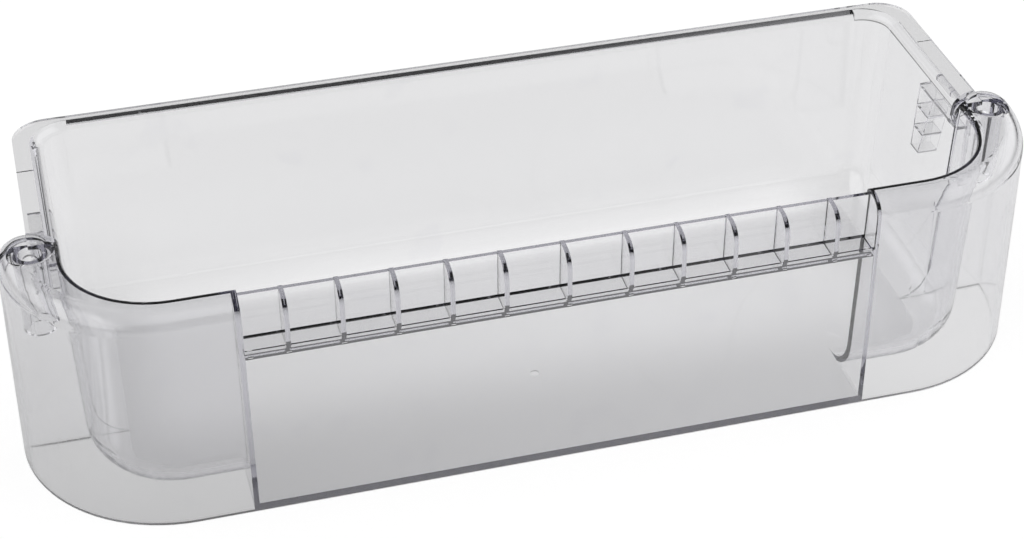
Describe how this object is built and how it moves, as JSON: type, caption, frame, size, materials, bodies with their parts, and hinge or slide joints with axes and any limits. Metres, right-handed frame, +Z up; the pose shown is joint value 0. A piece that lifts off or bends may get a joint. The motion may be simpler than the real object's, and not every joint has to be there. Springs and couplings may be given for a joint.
{
  "type": "refrigerator door shelf",
  "caption": "Clear moulded bottle shelf for a refrigerator door: a deep tub with rounded hollow front corners, a ribbed trim seat, post sockets and side hanging lugs.",
  "frame": {"origin": "on the underside, below the middle of the shelf's bounding box", "axes": "+X along the shelf to its right end, +Y towards the refrigerator door (the back), +Z up"},
  "size_m": [0.452, 0.1618, 0.1058],
  "materials": {
    "clear_plastic": "clear transparent moulded plastic, polished, with fine use scratches"
  },
  "bodies": {
    "root": {"door_shelf": "clear_plastic"}
  },
  "joints": []
}
